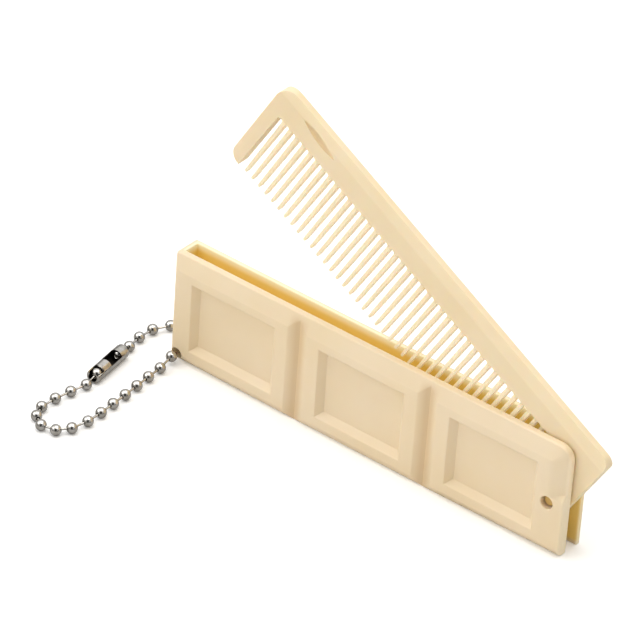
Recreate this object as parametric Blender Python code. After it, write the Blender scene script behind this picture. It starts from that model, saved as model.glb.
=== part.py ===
"""A pocket comb that folds into a chocolate-bar shaped case, with a ball chain through the case's corner.

The case stands on its long narrow edge. X runs along the case from its closed end to its open end, Y runs
from the three moulded blocks on the front to the plain back, and Z is up. The origin is the middle of the
case's base, halfway between the two walls of the slot that the comb folds into.

Every length is in metres. Names that end in SHARE or SHARES are fractions of the size beside them.
"""

import math

import bmesh
import bpy
from mathutils import Matrix, Vector

MM = 0.001

# Fits that several pieces share
FIT_GAP = 0.3 * MM
OVERRUN = 2.0 * MM
ARC_STEPS = 6
SHARP_DEG = 35
FLAT_SHARP_DEG = 19

# Case: a one-piece moulding, open along its top and at the comb's end
CASE_LENGTH = 100.0 * MM
CASE_HEIGHT = 25.5 * MM
FRONT_WALL = 1.5 * MM
BACK_WALL = 1.1 * MM
END_WALL = 1.2 * MM
FLOOR_WALL = 1.8 * MM
OPEN_CORNER_RADIUS = 3.0 * MM
SMALL_CORNER_RADIUS = 0.7 * MM

# Blocks on the front: a flat rim round a sunk panel, with sloping sides
BLOCK_COUNT = 3
BLOCK_RISE = 1.3 * MM
TOP_SLOPE = 3.5 * MM
BASE_SLOPE = 1.6 * MM
CLOSED_END_SLOPE = 1.1 * MM
OPEN_END_SLOPE = 3.2 * MM
GROOVE_HALF_WIDTH = 2.4 * MM
GROOVE_DEPTH = 0.95 * MM
RIM_WIDTH = 3.2 * MM
TOP_RIM_WIDTH = 1.8 * MM
BASE_RIM_TOP = 3.7 * MM
PANEL_DEPTH = 1.5 * MM
PANEL_SLOPE = 1.35 * MM
CLOSED_END_RIM = 2.1 * MM

# Pivot: the pad that it goes through, its holes and its pin
PIVOT_FROM_OPEN_END = 3.5 * MM
PIVOT_HEIGHT = 11.85 * MM
PIN_RADIUS = 1.15 * MM
PIN_SINK_FRONT = 1.0 * MM
PIN_SINK_BACK = 0.3 * MM
PIN_CHAMFER = 0.25 * MM
PAD_ABOVE_PIVOT = 2.0 * MM
PAD_SLOPE = 1.8 * MM

# Comb: lengths along it run from the pivot to the tip, widths from the pivot to the spine
COMB_THICKNESS = 3.0 * MM
COMB_OPEN_DEG = 30.7
COMB_TIP_GAP = 0.3 * MM
COMB_BUTT_GAP = 0.1 * MM
SPINE_ABOVE_PIVOT = 16.1 * MM
TEETH_BELOW_PIVOT = 8.6 * MM
ROOTS_ABOVE_PIVOT = 9.3 * MM
GUARD_WIDTH = 3.05 * MM
TOOTH_PITCH = 2.026 * MM
TOOTH_ROOT_WIDTH = 0.7 * MM
TOOTH_TIP_WIDTH = 0.45 * MM
BUTT_SOLID_LENGTH = 6.8 * MM
TOOTH_ROOT_THICKNESS = 2.4 * MM
TOOTH_TIP_THICKNESS = 1.3 * MM
SPINE_BEVEL_WIDTH = 2.0 * MM
SPINE_BEVEL_DEPTH = 0.7 * MM
TIP_CORNER_RADIUS = 3.5 * MM
GUARD_ROUND_SHARE = 0.96
BUTT_CORNER_RADIUS = 2.2 * MM
TOOTH_TIP_ROUND = 0.2 * MM
ROOT_ARC_STEPS = 4

# Nail nick: a scoop on each face of the comb that meets the other in a small opening
NICK_LENGTH = 9.2 * MM
NICK_WIDTH = 2.8 * MM
NICK_DEPTH = 1.65 * MM
NICK_FROM_TIP = 11.6 * MM
NICK_BELOW_SPINE = 2.1 * MM
NICK_TILT_DEG = 6.0

# Ball chain through a hole in the case's lower corner
BALL_RADIUS = 1.2 * MM
BALL_PITCH = 4.08 * MM
BENT_PITCH_SHARE = 0.82
BALL_SOCKET_DEPTH = 0.75 * MM
LINK_RADIUS = 0.3 * MM
CHAIN_HOLE_FROM_END = 2.3 * MM
CHAIN_HOLE_FROM_BASE = 0.4 * MM
BALL_SIDES = 12
BALL_RINGS = 8
LINK_SIDES = 8
HOLE_SIDES = 20

# Connector that joins the ends of the chain
CONNECTOR_LENGTH = 12.0 * MM
CONNECTOR_SHEET = 0.2 * MM
CONNECTOR_PLAY = 0.2 * MM
CONNECTOR_LIP_RADIUS = 1.0 * MM
CONNECTOR_BALL_INSET = 1.75 * MM
CONNECTOR_WINDOW_LENGTH = 3.6 * MM
CONNECTOR_WINDOW_WIDTH = 2.6 * MM
CONNECTOR_NOTCH_LENGTH = 2.0 * MM
CONNECTOR_NOTCH_WIDTH = 1.7 * MM
CONNECTOR_SLIT_WIDTH = 0.8 * MM
CONNECTOR_HEADING_DEG = 99.0
CONNECTOR_TILT_DEG = 25.0
CONNECTOR_SIDES = 20

# The chain's way over the table, in ball pitches from the mouths of its hole
FRONT_STRAND_SHARES = (
    (0.10, -1.36),
    (0.18, -2.36),
    (0.27, -3.36),
    (0.36, -4.36),
    (0.43, -5.36),
    (0.50, -6.37),
    (0.51, -7.37),
    (0.32, -8.32),
    (-0.18, -9.02),
    (-0.86, -9.20),
    (-1.58, -8.80),
    (-1.96, -7.97),
    (-1.94, -7.00),
    (-1.79, -6.04),
    (-1.62, -5.04),
)
SIDE_STRAND_SHARES = (
    (-2.42, -0.10),
    (-2.42, 0.90),
    (-2.00, 1.78),
)
BACK_STRAND_SHARES = (
    (-1.38, 0.80),
    (-0.68, 1.18),
)
FRONT_BALLS = 15
BENT_STEPS = range(8, 12)
SIDE_BALLS = 5
LEAST_BULGE_SHARE = 0.4
MOST_BULGE_SHARE = 2.5
WAY_STEPS = 12
HALVINGS = 24


def material(name, colour, roughness, metallic):
    """A Principled material for one kind of piece."""
    made = bpy.data.materials.new(name)
    made.use_nodes = True
    shader = made.node_tree.nodes["Principled BSDF"]
    shader.inputs["Base Color"].default_value = (*colour, 1)
    shader.inputs["Roughness"].default_value = roughness
    shader.inputs["Metallic"].default_value = metallic
    return made


def add_object(name, mesh, look=None):
    """Links a mesh to the scene as a named object."""
    made = bpy.data.objects.new(name, mesh)
    bpy.context.collection.objects.link(made)
    if look is not None:
        mesh.materials.append(look)
    return made


def finish_mesh(bm, name):
    """Turns every face outwards and writes the mesh."""
    bmesh.ops.recalc_face_normals(bm, faces=bm.faces)
    mesh = bpy.data.meshes.new(name)
    bm.to_mesh(mesh)
    bm.free()
    return mesh


def prism(name, outline, along, low, high):
    """Extrudes an outline along one axis. The outline's points give the other two axes in X, Y, Z order."""
    others = [axis for axis in range(3) if axis != along]
    bm = bmesh.new()
    corners = []
    for first, second in outline:
        place = [0, 0, 0]
        place[others[0]] = first
        place[others[1]] = second
        place[along] = low
        corners.append(bm.verts.new(place))
    face = bm.faces.new(corners)
    raised = bmesh.ops.extrude_face_region(bm, geom=[face])["geom"]
    step = [0, 0, 0]
    step[along] = high - low
    moved = [item for item in raised if isinstance(item, bmesh.types.BMVert)]
    bmesh.ops.translate(bm, verts=moved, vec=step)
    return finish_mesh(bm, name)


def boxed(name, low, high):
    """A box between two corners."""
    outline = ((low[0], low[1]), (high[0], low[1]), (high[0], high[1]), (low[0], high[1]))
    return prism(name, outline, 2, low[2], high[2])


def cylinder_along(name, start, end, radius, sides):
    """A closed cylinder from one point to another."""
    bm = bmesh.new()
    way = end - start
    turn = Vector((0, 0, 1)).rotation_difference(way)
    place = Matrix.Translation((start + end) / 2) @ turn.to_matrix().to_4x4()
    bmesh.ops.create_cone(
        bm, cap_ends=True, segments=sides, radius1=radius, radius2=radius, depth=way.length, matrix=place
    )
    return finish_mesh(bm, name)


def cut(target, mesh, name):
    """Takes a cutter's space, drawn in the piece's own frame, out of the piece."""
    cutter = add_object(name, mesh)
    cutter.hide_render = True
    cutter.display_type = "WIRE"
    cutter.parent = target.parent
    cutter.location = target.location
    cutter.rotation_euler = target.rotation_euler
    step = target.modifiers.new(name, "BOOLEAN")
    step.operation = "DIFFERENCE"
    step.solver = "EXACT"
    step.object = cutter
    return cutter


def rounded_corner(corner, before, after, radius, steps):
    """The points of an arc that rounds the corner between two straight sides."""
    corner = Vector(corner)
    back = (Vector(before) - corner).normalized()
    on = (Vector(after) - corner).normalized()
    half = back.angle(on) / 2
    reach = radius / math.tan(half)
    centre = corner + (back + on).normalized() * (radius / math.sin(half))
    first = corner + back * reach - centre
    last = corner + on * reach - centre
    sweep = first.angle_signed(last)
    points = []
    for step in range(steps + 1):
        arm = first.copy()
        arm.rotate(Matrix.Rotation(-sweep * step / steps, 2))
        points.append(tuple(centre + arm))
    return points


def rounded_outline(corners, radii, steps):
    """A closed outline whose corners are rounded, or left sharp where the radius is zero."""
    points = []
    count = len(corners)
    for index, corner in enumerate(corners):
        if radii[index] == 0:
            points.append(corner)
            continue
        before = corners[index - 1]
        after = corners[(index + 1) % count]
        points.extend(rounded_corner(corner, before, after, radii[index], steps))
    return points


class Case:
    """Where the case's walls, blocks and holes are."""

    slot_half = COMB_THICKNESS / 2 + FIT_GAP
    left = -CASE_LENGTH / 2
    right = CASE_LENGTH / 2
    edge_y = -slot_half - FRONT_WALL
    rim_y = edge_y - BLOCK_RISE
    panel_y = rim_y + PANEL_DEPTH
    valley_y = rim_y + GROOVE_DEPTH
    back_y = slot_half + BACK_WALL
    first_rim_x = left + CLOSED_END_RIM
    rims_length = CASE_LENGTH - CLOSED_END_RIM - OPEN_END_SLOPE
    rim_length = (rims_length - (BLOCK_COUNT - 1) * 2 * GROOVE_HALF_WIDTH) / BLOCK_COUNT
    block_pitch = rim_length + 2 * GROOVE_HALF_WIDTH
    rim_top_z = CASE_HEIGHT - TOP_SLOPE
    recess_top_z = rim_top_z - TOP_RIM_WIDTH
    pivot_x = right - PIVOT_FROM_OPEN_END
    pad_top_z = PIVOT_HEIGHT + PIN_RADIUS + PAD_ABOVE_PIVOT
    chain_hole_radius = BALL_RADIUS + FIT_GAP
    hole_x = left + CHAIN_HOLE_FROM_END
    hole_z = CHAIN_HOLE_FROM_BASE + chain_hole_radius
    floor_end_x = pivot_x - PIVOT_FROM_OPEN_END + COMB_BUTT_GAP - FIT_GAP


def case_outline():
    """The case seen from the front, with its open top corner rounded most."""
    corners = (
        (Case.left, 0),
        (Case.right, 0),
        (Case.right, CASE_HEIGHT),
        (Case.left, CASE_HEIGHT),
    )
    radii = (SMALL_CORNER_RADIUS, SMALL_CORNER_RADIUS, OPEN_CORNER_RADIUS, SMALL_CORNER_RADIUS)
    return rounded_outline(corners, radii, ARC_STEPS)


def slope_outline(edge, inwards, width):
    """A wedge's section outside the slope that runs from the thin edge in to the rim."""
    out = edge - inwards * OVERRUN
    tilt = BLOCK_RISE / width
    return (
        (Case.rim_y - OVERRUN, edge + inwards * (width + OVERRUN / tilt)),
        (Case.edge_y + OVERRUN * tilt, out),
        (Case.rim_y - OVERRUN, out),
    )


def cut_slopes(case):
    """Slopes the blocks' outer sides down to the case's thin edges."""
    ends = (Case.left - OVERRUN, Case.right + OVERRUN)
    cut(case, prism("top slope", slope_outline(CASE_HEIGHT, -1, TOP_SLOPE), 0, *ends), "cut_top_slope")
    cut(case, prism("base slope", slope_outline(0, 1, BASE_SLOPE), 0, *ends), "cut_base_slope")
    closed = [(x, y) for y, x in slope_outline(Case.left, 1, CLOSED_END_SLOPE)]
    cut(case, prism("closed slope", closed, 2, -OVERRUN, CASE_HEIGHT + OVERRUN), "cut_closed_end_slope")
    cut(case, open_end_wedge(), "cut_open_end_slope")


def open_end_wedge():
    """The slope beside the last block, which ends above on a slope of its own, over the pivot's pad."""
    section = [(x, y) for y, x in slope_outline(Case.right, -1, OPEN_END_SLOPE)]
    mesh = prism("open slope", section, 2, Case.pad_top_z, CASE_HEIGHT + OVERRUN)
    rise = PAD_SLOPE / BLOCK_RISE
    for vertex in mesh.vertices:
        if vertex.co.z < CASE_HEIGHT:
            vertex.co.z += (vertex.co.y - Case.rim_y) * rise
    return mesh


def cut_grooves(case):
    """The V between each two blocks, which runs out on the slope above it."""
    tilt = GROOVE_DEPTH / GROOVE_HALF_WIDTH
    mouth = GROOVE_HALF_WIDTH + OVERRUN / tilt
    for index in range(BLOCK_COUNT - 1):
        centre = Case.first_rim_x + Case.rim_length + GROOVE_HALF_WIDTH + index * Case.block_pitch
        section = (
            (centre - mouth, Case.rim_y - OVERRUN),
            (centre + mouth, Case.rim_y - OVERRUN),
            (centre, Case.valley_y),
        )
        mesh = prism("groove", section, 2, -OVERRUN, CASE_HEIGHT + OVERRUN)
        cut(case, mesh, f"cut_groove_{index + 1}")


def cut_panels(case):
    """The sunk panel of each block, with four sloping inner sides."""
    tilt = PANEL_SLOPE / PANEL_DEPTH
    for index in range(BLOCK_COUNT):
        low = Vector((Case.first_rim_x + index * Case.block_pitch + RIM_WIDTH, BASE_RIM_TOP))
        high = low + Vector((Case.rim_length - 2 * RIM_WIDTH, Case.recess_top_z - BASE_RIM_TOP))
        grow = OVERRUN * tilt
        bm = bmesh.new()
        mouth = []
        floor = []
        for side_x, side_z in ((0, 0), (1, 0), (1, 1), (0, 1)):
            x = high.x if side_x else low.x
            z = high.y if side_z else low.y
            out_x = 1 if side_x else -1
            out_z = 1 if side_z else -1
            mouth.append(bm.verts.new((x + out_x * grow, Case.rim_y - OVERRUN, z + out_z * grow)))
            inner = (x - out_x * PANEL_SLOPE, Case.panel_y, z - out_z * PANEL_SLOPE)
            floor.append(bm.verts.new(inner))
        bm.faces.new(mouth)
        bm.faces.new(floor)
        for corner in range(4):
            after = (corner + 1) % 4
            bm.faces.new((mouth[corner], mouth[after], floor[after], floor[corner]))
        cut(case, finish_mesh(bm, "panel"), f"cut_panel_{index + 1}")


def cut_slot(case):
    """The slot for the comb, and the way out below for its butt end when it is opened right round."""
    slot = boxed(
        "slot",
        (Case.left + END_WALL, -Case.slot_half, FLOOR_WALL),
        (Case.right + OVERRUN, Case.slot_half, CASE_HEIGHT + OVERRUN),
    )
    cut(case, slot, "cut_slot")
    bay = boxed(
        "bay",
        (Case.floor_end_x, -Case.slot_half, -OVERRUN),
        (Case.right + OVERRUN, Case.slot_half, FLOOR_WALL + OVERRUN),
    )
    cut(case, bay, "cut_pivot_bay")


def cut_across(case, x, z, radius, name):
    """A round hole through both walls."""
    start = Vector((x, Case.rim_y - OVERRUN, z))
    end = Vector((x, Case.back_y + OVERRUN, z))
    cut(case, cylinder_along(name, start, end, radius, HOLE_SIDES), name)


def build_case(look):
    """The moulded case: slab first, then what is cut from it."""
    mesh = prism("case", case_outline(), 1, Case.rim_y, Case.back_y)
    case = add_object("case", mesh, look)
    cut_slopes(case)
    cut_grooves(case)
    cut_panels(case)
    cut_slot(case)
    cut_across(case, Case.pivot_x, PIVOT_HEIGHT, PIN_RADIUS + FIT_GAP, "cut_pin_hole")
    cut_across(case, Case.hole_x, Case.hole_z, Case.chain_hole_radius, "cut_chain_hole")
    return case


def build_pin(look):
    """The pivot pin, sunk below the front pad and the back."""
    front = Case.rim_y + PIN_SINK_FRONT
    back = Case.back_y - PIN_SINK_BACK
    start = Vector((0, front - Case.rim_y, 0))
    end = Vector((0, back - Case.rim_y, 0))
    mesh = cylinder_along("pivot_pin", start, end, PIN_RADIUS, HOLE_SIDES)
    pin = add_object("pivot_pin", mesh, look)
    pin.location = (Case.pivot_x, Case.rim_y, PIVOT_HEIGHT)
    rounding = pin.modifiers.new("ends", "BEVEL")
    rounding.width = PIN_CHAMFER
    rounding.segments = 2
    rounding.limit_method = "ANGLE"
    return pin


class Comb:
    """Where the comb's edges are, in its own frame: X is away from the tip, Z is towards the spine."""

    tip_x = Case.left + END_WALL + COMB_TIP_GAP - Case.pivot_x
    butt_x = PIVOT_FROM_OPEN_END - COMB_BUTT_GAP
    root_half = (TOOTH_PITCH - TOOTH_ROOT_WIDTH) / 2
    mouth_half = (TOOTH_PITCH - TOOTH_TIP_WIDTH) / 2
    first_gap_x = tip_x + GUARD_WIDTH + root_half
    gap_count = 1 + math.floor((-BUTT_SOLID_LENGTH - root_half - first_gap_x) / TOOTH_PITCH)
    last_gap_x = first_gap_x + (gap_count - 1) * TOOTH_PITCH
    guard_radius = (first_gap_x - mouth_half - TOOTH_TIP_ROUND / 2 - tip_x) * GUARD_ROUND_SHARE


def gap_points(centre):
    """One gap between two teeth, from its mouth on the tip's side, round its root and back."""
    base = -TEETH_BELOW_PIVOT
    arc_z = ROOTS_ABOVE_PIVOT - Comb.root_half
    points = [(centre - Comb.mouth_half - TOOTH_TIP_ROUND / 2, base)]
    points.append((centre - Comb.mouth_half, base + TOOTH_TIP_ROUND))
    for step in range(ROOT_ARC_STEPS + 1):
        angle = math.pi * step / ROOT_ARC_STEPS
        points.append((centre - Comb.root_half * math.cos(angle), arc_z + Comb.root_half * math.sin(angle)))
    points.append((centre + Comb.mouth_half, base + TOOTH_TIP_ROUND))
    points.append((centre + Comb.mouth_half + TOOTH_TIP_ROUND / 2, base))
    return points


def comb_outline():
    """The comb seen from the front, with its teeth."""
    base = -TEETH_BELOW_PIVOT
    spine = SPINE_ABOVE_PIVOT
    butt = (Comb.butt_x, base)
    top_butt = (Comb.butt_x, spine)
    top_tip = (Comb.tip_x, spine)
    guard = (Comb.tip_x, base)
    points = rounded_corner(guard, top_tip, butt, Comb.guard_radius, ARC_STEPS)
    for index in range(Comb.gap_count):
        points.extend(gap_points(Comb.first_gap_x + index * TOOTH_PITCH))
    points.extend(rounded_corner(butt, guard, top_butt, BUTT_CORNER_RADIUS, ARC_STEPS))
    points.extend(rounded_corner(top_butt, butt, top_tip, BUTT_CORNER_RADIUS, ARC_STEPS))
    points.extend(rounded_corner(top_tip, top_butt, guard, TIP_CORNER_RADIUS, ARC_STEPS))
    return points


def bevel_spine(comb):
    """A long shallow bevel on both faces, up to the spine."""
    half = COMB_THICKNESS / 2
    low_z = SPINE_ABOVE_PIVOT - SPINE_BEVEL_WIDTH
    tilt = SPINE_BEVEL_WIDTH / SPINE_BEVEL_DEPTH
    for side, name in ((-1, "cut_front_bevel"), (1, "cut_back_bevel")):
        section = (
            (side * (half + OVERRUN), low_z - OVERRUN * tilt),
            (side * (half + OVERRUN), SPINE_ABOVE_PIVOT + OVERRUN),
            (side * (half - SPINE_BEVEL_DEPTH - OVERRUN / tilt), SPINE_ABOVE_PIVOT + OVERRUN),
        )
        mesh = prism(name, section, 0, Comb.tip_x - OVERRUN, Comb.butt_x + OVERRUN)
        cut(comb, mesh, name)


def taper_teeth(comb):
    """Thins the teeth from their roots to their tips, and leaves the guard and the butt end thick."""
    half = COMB_THICKNESS / 2
    root_z = ROOTS_ABOVE_PIVOT - Comb.root_half
    top_z = ROOTS_ABOVE_PIVOT
    root_half = TOOTH_ROOT_THICKNESS / 2
    tip_half = TOOTH_TIP_THICKNESS / 2
    low_x = Comb.first_gap_x
    high_x = Comb.last_gap_x
    for side, name in ((-1, "cut_front_taper"), (1, "cut_back_taper")):
        section = (
            (side * half, top_z),
            (side * root_half, root_z),
            (side * tip_half, -TEETH_BELOW_PIVOT),
            (side * tip_half, -TEETH_BELOW_PIVOT - OVERRUN),
            (side * (half + OVERRUN), -TEETH_BELOW_PIVOT - OVERRUN),
            (side * (half + OVERRUN), top_z),
        )
        cut(comb, prism(name, section, 0, low_x, high_x), name)


def scoop_nick(comb):
    """The two scoops of the nail nick, one on each face, along the foot of the spine's bevel."""
    centre_x = Comb.tip_x + NICK_FROM_TIP
    centre_z = SPINE_ABOVE_PIVOT - NICK_BELOW_SPINE
    sizes = Matrix.Diagonal((NICK_LENGTH / 2, NICK_DEPTH, NICK_WIDTH / 2, 1))
    turn = Matrix.Rotation(math.radians(NICK_TILT_DEG), 4, "Y")
    for side, name in ((-1, "cut_front_nick"), (1, "cut_back_nick")):
        place = Matrix.Translation((centre_x, side * COMB_THICKNESS / 2, centre_z)) @ turn @ sizes
        bm = bmesh.new()
        bmesh.ops.create_uvsphere(bm, u_segments=BALL_SIDES, v_segments=BALL_RINGS, radius=1, matrix=place)
        cut(comb, finish_mesh(bm, name), name)


def build_comb(look):
    """The comb, turned about its pivot as far as it is opened."""
    half = COMB_THICKNESS / 2
    comb = add_object("comb", prism("comb", comb_outline(), 1, -half, half), look)
    comb.location = (Case.pivot_x, 0, PIVOT_HEIGHT)
    comb.rotation_euler = (0, math.radians(COMB_OPEN_DEG), 0)
    bevel_spine(comb)
    taper_teeth(comb)
    scoop_nick(comb)
    reach = Vector((0, half + OVERRUN, 0))
    hole = cylinder_along("pivot bore", -reach, reach, PIN_RADIUS + FIT_GAP, HOLE_SIDES)
    cut(comb, hole, "cut_pivot_bore")
    return comb


def way_point(way, share):
    """A point on the smooth curve through a list of points, which runs on straight past its last point."""
    spans = len(way) - 1
    if share > 1:
        return way[-1] + (way[-1] - way[-2]) * (share - 1) * spans
    index = min(int(share * spans), spans - 1)
    part = share * spans - index
    before = way[max(index - 1, 0)]
    start = way[index]
    end = way[index + 1]
    after = way[min(index + 2, spans)]
    linear = (end - before) * part
    square = (before * 2 - start * 5 + end * 4 - after) * part * part
    cube = (start * 3 - before - end * 3 + after) * part * part * part
    return start + (linear + square + cube) / 2


def next_share(way, share, pitch):
    """The share of the way at which the next ball is one pitch, straight across, from this one."""
    here = way_point(way, share)
    step = 1 / (len(way) * WAY_STEPS)
    high = share + step
    while (way_point(way, high) - here).length < pitch:
        high += step
    low = high - step
    for _ in range(HALVINGS):
        middle = (low + high) / 2
        if (way_point(way, middle) - here).length < pitch:
            low = middle
        else:
            high = middle
    return high


def balls_along(way, count, bent=()):
    """The places of a number of balls along a way after its first point, and the last one's share.

    On the bent steps the balls have slid together on their links.
    """
    places = []
    share = 0
    for step in range(count):
        pitch = BALL_PITCH * BENT_PITCH_SHARE if step in bent else BALL_PITCH
        share = next_share(way, share, pitch)
        places.append(way_point(way, share))
    return places, share


def table_point(shares, mouth_y):
    """A ball's place on the table, in ball pitches from one mouth of the chain's hole."""
    return Vector((Case.hole_x + shares[0] * BALL_PITCH, mouth_y + shares[1] * BALL_PITCH, BALL_RADIUS))


def balls_in_hole():
    """The balls through the hole, from the one just outside its front mouth to the one outside its back."""
    first = Case.rim_y - BALL_RADIUS - FIT_GAP
    span = Case.back_y + BALL_RADIUS + FIT_GAP - first
    count = math.ceil(span / BALL_PITCH) + 1
    return [Vector((Case.hole_x, first + index * BALL_PITCH, Case.hole_z)) for index in range(count)]


def side_way(start, end, bulge):
    """The way from the connector round the closed end of the case, swung out behind it by a share."""
    way = [start]
    for shares in SIDE_STRAND_SHARES:
        way.append(table_point(shares, Case.rim_y))
    for shares in BACK_STRAND_SHARES:
        way.append(table_point((shares[0] * bulge, shares[1] * bulge), Case.back_y))
    way.append(end)
    return way


def closing_balls(start, end):
    """The balls that close the loop. Their way swings out until a whole number of pitches fits it."""
    low = LEAST_BULGE_SHARE
    high = MOST_BULGE_SHARE
    for _ in range(HALVINGS):
        bulge = (low + high) / 2
        places, share = balls_along(side_way(start, end, bulge), SIDE_BALLS + 1)
        if share > 1:
            low = bulge
        else:
            high = bulge
    return places[:-1]


def connector_balls(last):
    """The two balls that the connector holds and the one past it, in line with it from the strand's last."""
    heading = math.radians(CONNECTOR_HEADING_DEG)
    way = Vector((math.cos(heading), math.sin(heading), 0))
    rise = connector_radius() - BALL_RADIUS
    step = way * math.sqrt(BALL_PITCH**2 - rise**2)
    lift = Vector((0, 0, rise))
    low = last + step + lift
    high = low + way * (CONNECTOR_LENGTH - 2 * CONNECTOR_BALL_INSET)
    return low, high, high + step - lift


def connector_radius():
    """The connector's outside radius, which follows the balls that it holds."""
    return BALL_RADIUS + CONNECTOR_PLAY + CONNECTOR_SHEET


def build_ball(name, centre, neighbours, look, hub):
    """One ball, with a socket towards each neighbour for the link that enters it."""
    bm = bmesh.new()
    bmesh.ops.create_uvsphere(bm, u_segments=BALL_SIDES, v_segments=BALL_RINGS, radius=BALL_RADIUS)
    ball = add_object(name, finish_mesh(bm, name), look)
    ball.parent = hub
    ball.location = centre - hub.location
    for index, neighbour in enumerate(neighbours):
        way = (neighbour - centre).normalized()
        bottom = way * (BALL_RADIUS - BALL_SOCKET_DEPTH)
        mouth = way * (BALL_RADIUS + OVERRUN)
        cutter_name = f"cut_{name}_{index + 1}"
        cut(ball, cylinder_along(cutter_name, bottom, mouth, LINK_RADIUS + FIT_GAP, LINK_SIDES), cutter_name)
    return ball


def build_link(name, start, end, look, hub):
    """One short wire between two balls, a fit gap short of the bottom of each socket."""
    way = (end - start).normalized()
    reach = way * (BALL_RADIUS - BALL_SOCKET_DEPTH + FIT_GAP)
    middle = (start + end) / 2
    mesh = cylinder_along(name, start + reach - middle, end - reach - middle, LINK_RADIUS, LINK_SIDES)
    link = add_object(name, mesh, look)
    link.parent = hub
    link.location = middle - hub.location
    return link


def connector_profile():
    """The section of the connector's sheet: an outer wall, turned in at both ends, and an inner wall."""
    half = CONNECTOR_LENGTH / 2
    outer = connector_radius()
    inner = outer - CONNECTOR_SHEET
    bend = outer - CONNECTOR_LIP_RADIUS
    return (
        (CONNECTOR_LIP_RADIUS, -half),
        (outer - bend / 3, -half + bend / 6),
        (outer, -half + bend),
        (outer, half - bend),
        (outer - bend / 3, half - bend / 6),
        (CONNECTOR_LIP_RADIUS, half),
        (CONNECTOR_LIP_RADIUS, half - CONNECTOR_SHEET),
        (inner, half - bend),
        (inner, -half + bend),
        (CONNECTOR_LIP_RADIUS, -half + CONNECTOR_SHEET),
    )


def build_connector(low, high, look, hub):
    """A rolled sheet tube that holds the chain's two end balls, with a window and a slit along it."""
    bm = bmesh.new()
    ring = [bm.verts.new((radius, 0, along)) for radius, along in connector_profile()]
    edges = [bm.edges.new((ring[index - 1], ring[index])) for index in range(len(ring))]
    bmesh.ops.spin(
        bm,
        geom=ring + edges,
        cent=(0, 0, 0),
        axis=(0, 0, 1),
        angle=2 * math.pi,
        steps=CONNECTOR_SIDES,
        use_merge=True,
    )
    bmesh.ops.remove_doubles(bm, verts=bm.verts, dist=CONNECTOR_SHEET / 100)
    connector = add_object("chain_connector", finish_mesh(bm, "chain_connector"), look)
    connector.parent = hub
    connector.location = (low + high) / 2 - hub.location
    connector.rotation_euler = connector_turn(high - low).to_euler()
    end = CONNECTOR_LENGTH / 2 + OVERRUN
    notch = CONNECTOR_LENGTH / 2 - CONNECTOR_NOTCH_LENGTH
    window = CONNECTOR_WINDOW_LENGTH / 2
    cut_opening(connector, -window, window, CONNECTOR_WINDOW_WIDTH, "cut_window")
    cut_opening(connector, -end, end, CONNECTOR_SLIT_WIDTH, "cut_slit")
    cut_opening(connector, notch, end, CONNECTOR_NOTCH_WIDTH, "cut_high_notch")
    cut_opening(connector, -end, -notch, CONNECTOR_NOTCH_WIDTH, "cut_low_notch")
    return connector


def connector_turn(way):
    """The turn that lays the connector along a way, with its openings up and tilted to the outside."""
    along = way.normalized()
    side = along.cross(Vector((0, 0, 1)))
    tilt = math.radians(CONNECTOR_TILT_DEG)
    up = Vector((0, 0, 1)) * math.cos(tilt) - side * math.sin(tilt)
    return Matrix((up, along.cross(up), along)).transposed()


def cut_opening(connector, low, high, width, name):
    """A straight-sided opening through one side of the connector."""
    reach = connector_radius() + OVERRUN
    cut(connector, boxed(name, (0, -width / 2, low), (reach, width / 2, high)), name)


def build_chain(metal):
    """The whole chain: a closed loop through the case, with the connector between two of its balls."""
    hub = bpy.data.objects.new("chain_pivot", None)
    hub.location = (Case.hole_x, 0, Case.hole_z)
    bpy.context.collection.objects.link(hub)
    through = balls_in_hole()
    front_way = [through[0]] + [table_point(shares, Case.rim_y) for shares in FRONT_STRAND_SHARES]
    front, _ = balls_along(front_way, FRONT_BALLS, BENT_STEPS)
    low, high, past = connector_balls(front[-1])
    closing = closing_balls(past, through[-1])
    order = [through[0], *front, low, high, past, *closing, *reversed(through[1:])]
    held = len(front) + 1
    for index, centre in enumerate(order):
        after = order[(index + 1) % len(order)]
        build_ball(f"chain_ball_{index + 1:02d}", centre, (order[index - 1], after), metal, hub)
        if index < held:
            build_link(f"chain_link_{index + 1:02d}", centre, after, metal, hub)
        if index > held:
            build_link(f"chain_link_{index:02d}", centre, after, metal, hub)
    build_connector(low, high, metal, hub)


def shade_round():
    """Shades every piece smooth but for its real edges."""
    for made in bpy.context.scene.objects:
        if made.type == "MESH" and not made.hide_render:
            flat = made.name in ("case", "comb")
            made.data.shade_smooth()
            made.data.set_sharp_from_angle(angle=math.radians(FLAT_SHARP_DEG if flat else SHARP_DEG))


def main():
    """Clears the scene and builds every piece."""
    for old in list(bpy.data.objects):
        bpy.data.objects.remove(old, do_unlink=True)
    plastic = material("ivory plastic", (0.86, 0.71, 0.47), 0.42, 0)
    metal = material("plated steel", (0.62, 0.6, 0.58), 0.22, 1)
    build_case(plastic)
    build_comb(plastic)
    build_pin(plastic)
    build_chain(metal)
    shade_round()


main()
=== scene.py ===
"""The looks of a folding pocket comb in a chocolate-bar shaped case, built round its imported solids.

The case, the comb and the ball chain are each made by a class below, and finished in procedural plastic
and plated steel. The case and the comb have their sizes here, and the chain takes its places from the
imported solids. Lengths are in metres.
"""

import logging
import math
from dataclasses import dataclass, field
from enum import Enum
from typing import Callable, Iterable, Sequence

import bmesh
import bpy
import numpy as np
from bmesh.types import BMEdge, BMesh, BMFace, BMLayerItem, BMVert
from bpy.types import Material, Node, NodeSocket, NodeTree, Object
from mathutils import Matrix, Vector


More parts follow.
